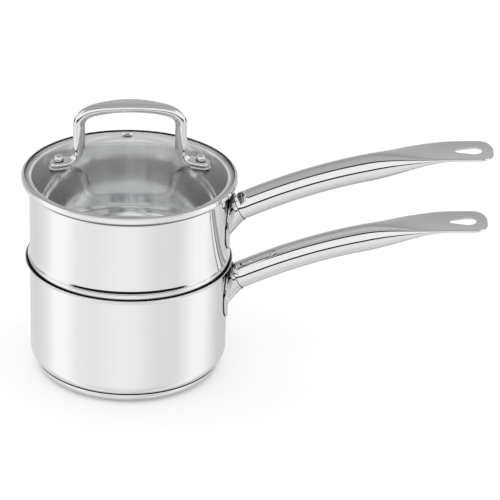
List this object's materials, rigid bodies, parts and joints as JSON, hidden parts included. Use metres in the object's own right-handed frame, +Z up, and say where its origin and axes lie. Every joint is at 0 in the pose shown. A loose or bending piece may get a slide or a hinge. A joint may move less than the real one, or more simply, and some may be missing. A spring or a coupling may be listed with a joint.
{
  "type": "saucepan",
  "caption": "Steel saucepan used as a double boiler: a nesting insert pan rests in its flared lip under a domed glass lid, each pan with a tubular hanging handle.",
  "frame": {"origin": "on the axis of the pans, at the flat underside of the base", "axes": "+X along the long handles and away from the pans, +Z up, +Y to the left of the handles seen from the pans"},
  "size_m": [0.3753, 0.1734, 0.2313],
  "materials": {
    "polished_steel": "polished",
    "satin_steel": "fine satin",
    "aluminium": "pressed",
    "clear_glass": "clear tempered",
    "silicone": "soft, slightly cloudy"
  },
  "bodies": {
    "saucepan": {"saucepan_body": "polished_steel", "saucepan_base_core": "aluminium", "saucepan_base_cap": "polished_steel", "saucepan_bracket": "polished_steel", "saucepan_handle": "satin_steel"},
    "insert": {"insert_body": "polished_steel", "insert_bracket": "polished_steel", "insert_handle": "satin_steel"},
    "lid": {"lid_glass": "clear_glass", "lid_rim_band": "polished_steel", "lid_vent_eyelet": "polished_steel", "lid_handle": "satin_steel", "lid_foot_pad_left": "silicone", "lid_cap_nut_left": "polished_steel", "lid_screw_left": "satin_steel", "lid_gasket_left": "silicone", "lid_washer_left": "satin_steel", "lid_foot_pad_right": "silicone", "lid_cap_nut_right": "polished_steel", "lid_screw_right": "satin_steel", "lid_gasket_right": "silicone", "lid_washer_right": "satin_steel"}
  },
  "joints": [
    {"name": "insert_lift", "type": "slide", "parent": "saucepan", "child": "insert", "axis": [0, 0, 1], "range_m": [0, 0.12]},
    {"name": "lid_lift", "type": "slide", "parent": "insert", "child": "lid", "axis": [0, 0, 1], "range_m": [0, 0.12]}
  ]
}
